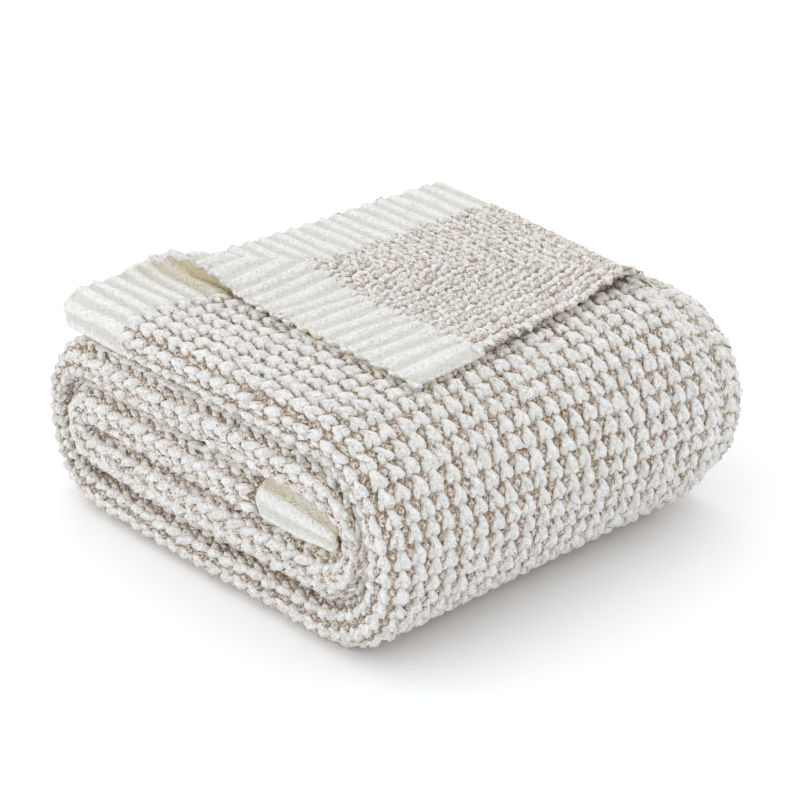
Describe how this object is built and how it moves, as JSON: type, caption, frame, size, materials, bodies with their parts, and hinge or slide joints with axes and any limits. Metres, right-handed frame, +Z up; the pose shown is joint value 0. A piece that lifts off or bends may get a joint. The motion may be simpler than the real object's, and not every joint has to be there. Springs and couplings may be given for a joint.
{
  "type": "folded knit throw blanket",
  "caption": "Chunky knit throw folded lengthwise, rolled up flat into a soft rectangular pack, with one ribbed corner turned back on top.",
  "frame": {"origin": "centre of the base of the pack's bounding box, on the surface it rests on", "axes": "+Z up; +X from the outer hem towards the full rounded side of the roll; +Y along the roll, from the closed lengthwise folds at the front to the free side edges at the back"},
  "size_m": [0.3728, 0.3657, 0.1861],
  "materials": {
    "chenille_knit": "soft matt chenille yarn, cream with a beige marl, ribbed cream bands at both ends"
  },
  "bodies": {
    "root": {"throw": "chenille_knit"}
  },
  "joints": []
}
